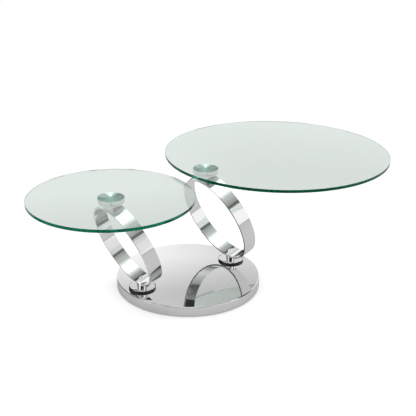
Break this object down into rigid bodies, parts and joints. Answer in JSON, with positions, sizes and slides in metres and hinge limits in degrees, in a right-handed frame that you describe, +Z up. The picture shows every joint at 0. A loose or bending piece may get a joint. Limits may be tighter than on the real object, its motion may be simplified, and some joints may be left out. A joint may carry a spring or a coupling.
{
  "type": "swivel coffee table",
  "caption": "Low table: round glass tops at different heights, each on a leaning polished steel ring that swivels on a weighted round base.",
  "frame": {"origin": "middle of the round base, on the floor", "axes": "+Z up, +X along the line of the two hubs, from the small top on the left to the large top on the right, +Y to the back"},
  "size_m": [1.3477, 0.8, 0.4123],
  "materials": {
    "polished_steel": "mirror polished",
    "turned_steel": "fine turned, satin",
    "clear_glass": "clear toughened float glass with a polished edge",
    "black_nylon": "matt",
    "zinc_steel": "zinc plated",
    "bronze": "turned bearing bronze",
    "cast_ballast": "primed steel plate",
    "black_sheet": "powder coated sheet",
    "felt": "pressed felt"
  },
  "bodies": {
    "base": {"base_shell": "polished_steel", "ballast_plate": "cast_ballast", "bottom_cover": "black_sheet", "floor_pad": "felt", "cover_spacers": "zinc_steel", "cover_screws": "zinc_steel", "left_pivot_bush": "bronze", "left_bearing_washer": "black_nylon", "left_thrust_washer": "zinc_steel", "right_pivot_bush": "bronze", "right_bearing_washer": "black_nylon", "right_thrust_washer": "zinc_steel"},
    "left_ring": {"left_disc_spring": "zinc_steel", "left_lock_nut": "zinc_steel", "left_pivot_stud": "zinc_steel", "left_hub_disc": "polished_steel", "left_hub_neck": "polished_steel", "left_foot_bolt": "polished_steel", "left_ring_band": "polished_steel", "left_crest_bolt": "polished_steel", "left_saddle": "turned_steel", "left_glide_washer": "black_nylon"},
    "left_top": {"left_glass_mount": "turned_steel", "left_grub_screws": "zinc_steel", "left_glass_top": "clear_glass"},
    "right_ring": {"right_disc_spring": "zinc_steel", "right_lock_nut": "zinc_steel", "right_pivot_stud": "zinc_steel", "right_hub_disc": "polished_steel", "right_hub_neck": "polished_steel", "right_foot_bolt": "polished_steel", "right_ring_band": "polished_steel", "right_crest_bolt": "polished_steel", "right_saddle": "turned_steel", "right_glide_washer": "black_nylon"},
    "right_top": {"right_glass_mount": "turned_steel", "right_grub_screws": "zinc_steel", "right_glass_top": "clear_glass"}
  },
  "joints": [
    {"name": "left_ring_swivel", "type": "hinge", "parent": "base", "child": "left_ring", "pos_m": [-0.188, 0, 0.036], "axis": [0, 0, 1], "range_deg": [-60, 60]},
    {"name": "left_top_swivel", "type": "hinge", "parent": "left_ring", "child": "left_top", "pos_m": [-0.29551, 0, 0.36507], "axis": [0, 0, 1], "continuous": true},
    {"name": "right_ring_swivel", "type": "hinge", "parent": "base", "child": "right_ring", "pos_m": [0.188, 0, 0.036], "axis": [0, 0, 1], "continuous": true},
    {"name": "right_top_swivel", "type": "hinge", "parent": "right_ring", "child": "right_top", "pos_m": [0.07117, 0, 0.38935], "axis": [0, 0, 1], "continuous": true}
  ]
}
